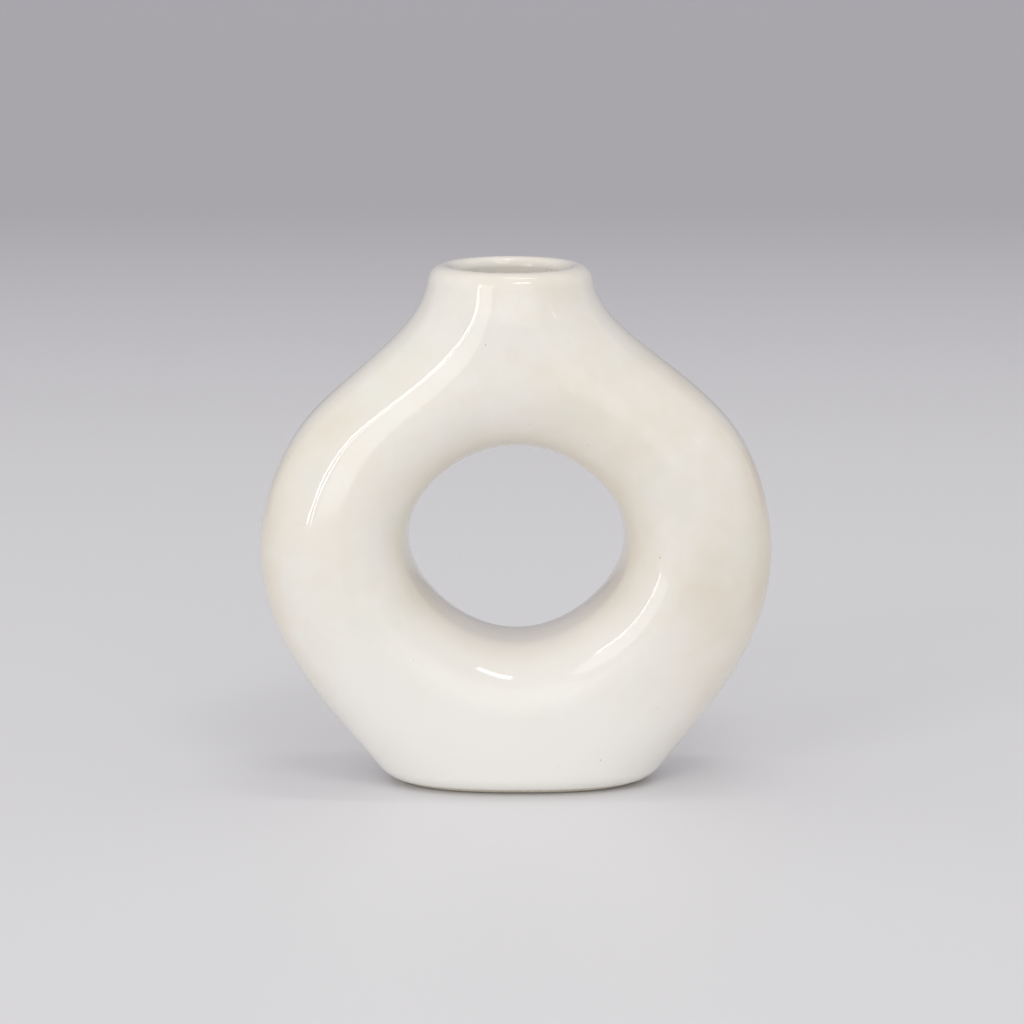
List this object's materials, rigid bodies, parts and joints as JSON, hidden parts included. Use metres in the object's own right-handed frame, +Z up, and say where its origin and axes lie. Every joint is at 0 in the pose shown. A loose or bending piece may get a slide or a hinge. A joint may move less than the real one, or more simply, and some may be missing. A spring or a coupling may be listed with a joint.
{
  "type": "donut vase",
  "caption": "Small hollow ring vase with a short round neck and a flat foot, glazed ceramic, for a few fresh or dried stems",
  "frame": {"origin": "middle of the ring's width and depth, on the surface the foot stands on", "axes": "+Z up through the mouth; the ring's hole runs along Y and its face looks along -Y; +X to the right of someone who faces it"},
  "size_m": [0.12, 0.043, 0.1228],
  "materials": {
    "fired_clay": "matt fired clay, wiped clean of glaze on the foot",
    "outer_glaze": "gloss cream-white glaze, warmer where it runs thin",
    "liner_glaze": "gloss cream-white glaze, poured through the mouth"
  },
  "bodies": {
    "root": {"clay_body": "fired_clay", "outer_glaze": "outer_glaze", "liner_glaze": "liner_glaze"}
  },
  "joints": []
}
